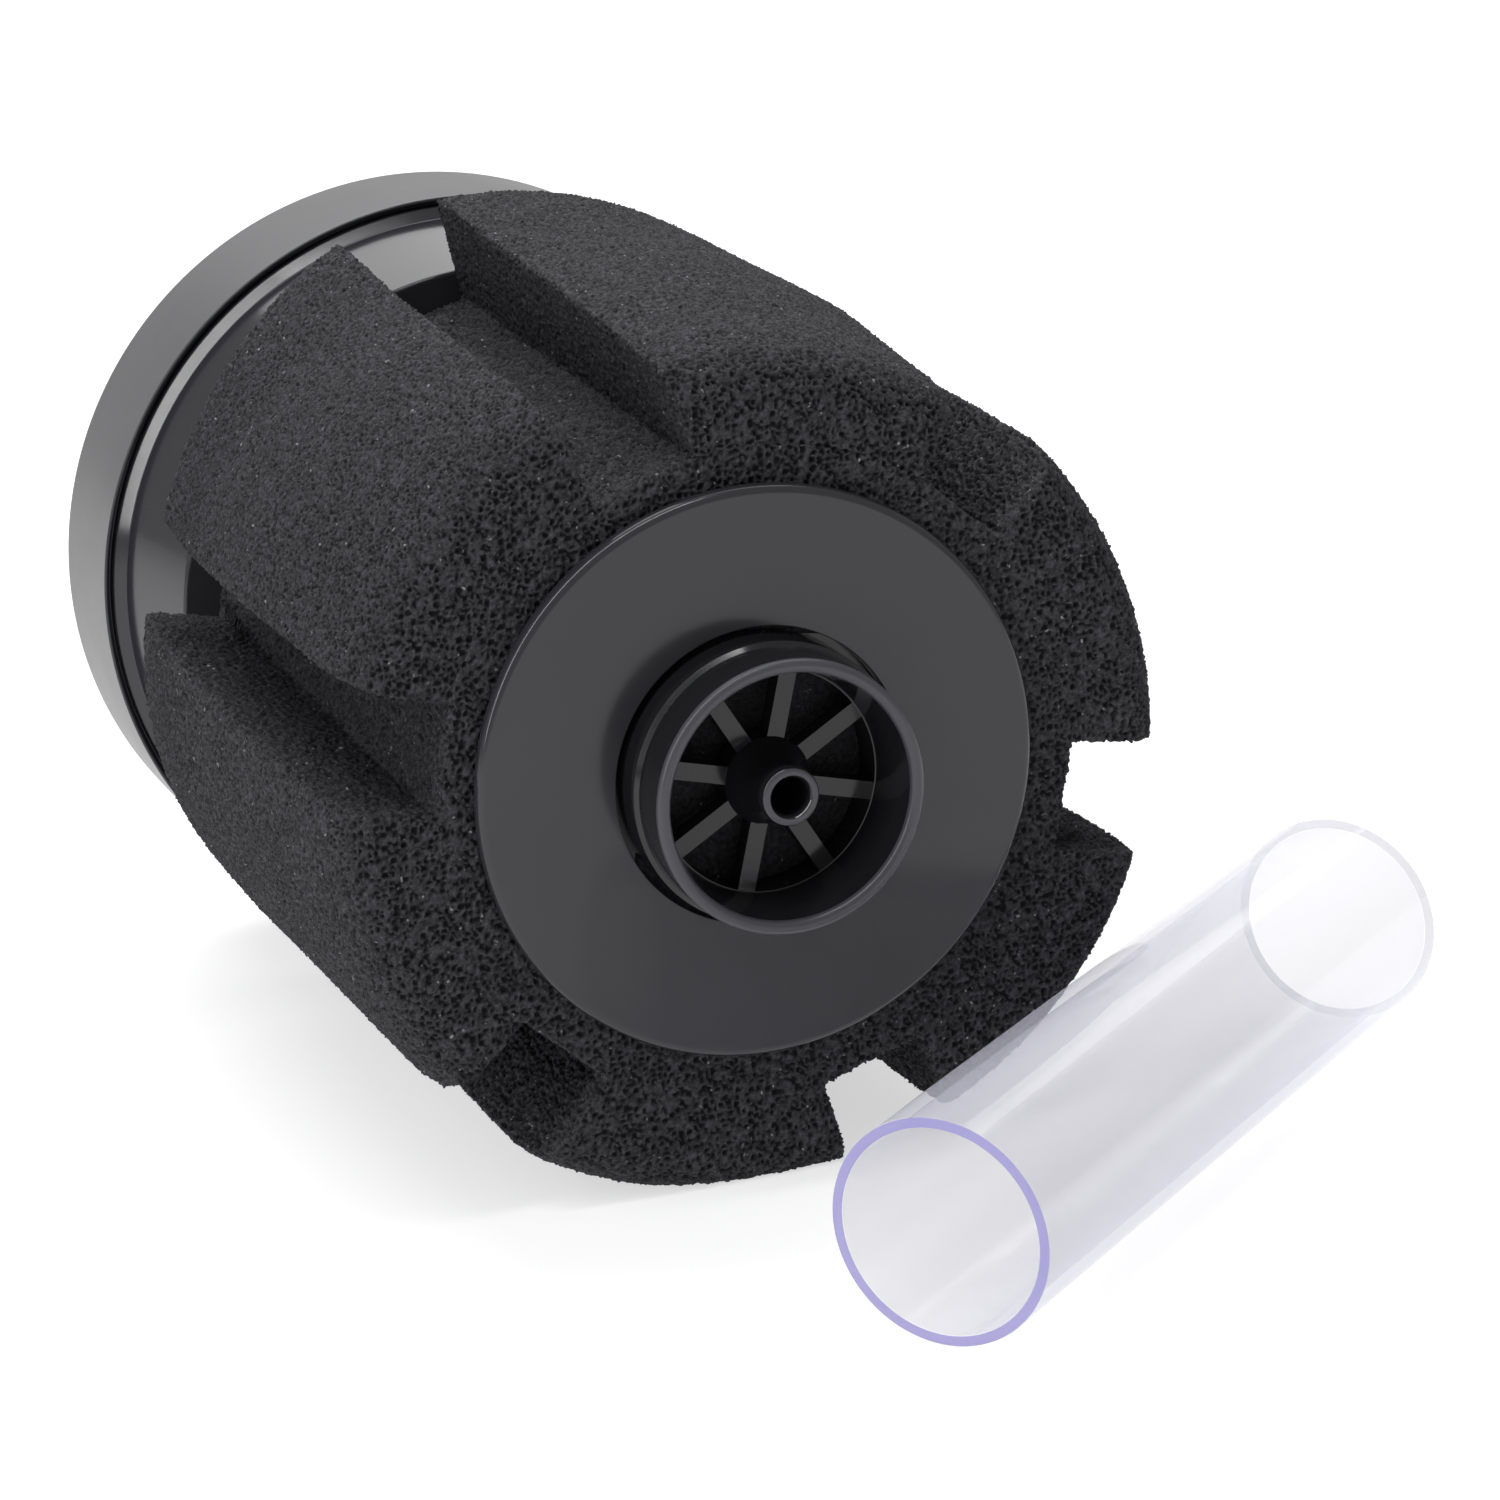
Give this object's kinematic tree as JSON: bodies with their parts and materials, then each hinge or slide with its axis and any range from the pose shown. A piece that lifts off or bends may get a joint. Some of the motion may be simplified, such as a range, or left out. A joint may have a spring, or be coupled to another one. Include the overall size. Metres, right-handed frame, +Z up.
{
  "type": "aquarium sponge filter",
  "caption": "Air-driven sponge filter: lobed black foam on a slotted core with a weighted round base, a top plate with a spoked lift-tube socket, and a loose clear lift tube.",
  "frame": {"origin": "on the floor, at the centre of the whole footprint: the filter lying on its side and the loose lift tube beside it", "axes": "+Z up; the filter's own axis runs along Y, with the lift-tube socket towards -Y and the base's underside towards +Y; +X towards the side where the loose tube lies"},
  "size_m": [0.1372, 0.1882, 0.099],
  "materials": {
    "gloss_black": "gloss",
    "cage_black": "satin",
    "charcoal_foam": "matte",
    "clear_tube": "gloss",
    "ballast_iron": "matte"
  },
  "bodies": {
    "sponge": {"sponge": "charcoal_foam"},
    "base": {"base_shell": "gloss_black", "base_bottom_cover": "gloss_black", "ballast_ring": "ballast_iron", "core_cage": "cage_black"},
    "cap": {"top_plate": "gloss_black", "lift_tube_socket": "gloss_black"},
    "lift_tube": {"lift_tube": "clear_tube"}
  },
  "joints": [
    {"name": "base_pull", "type": "slide", "parent": "sponge", "child": "base", "axis": [0, 1, 0], "range_m": [0, 0.09]},
    {"name": "cap_pull", "type": "slide", "parent": "sponge", "child": "cap", "axis": [0, -1, 0], "range_m": [0, 0.018]},
    {"name": "lift_tube_roll", "type": "slide", "parent": "sponge", "child": "lift_tube", "axis": [0.6414, -0.7672, 0], "range_m": [0, 0.08]}
  ]
}
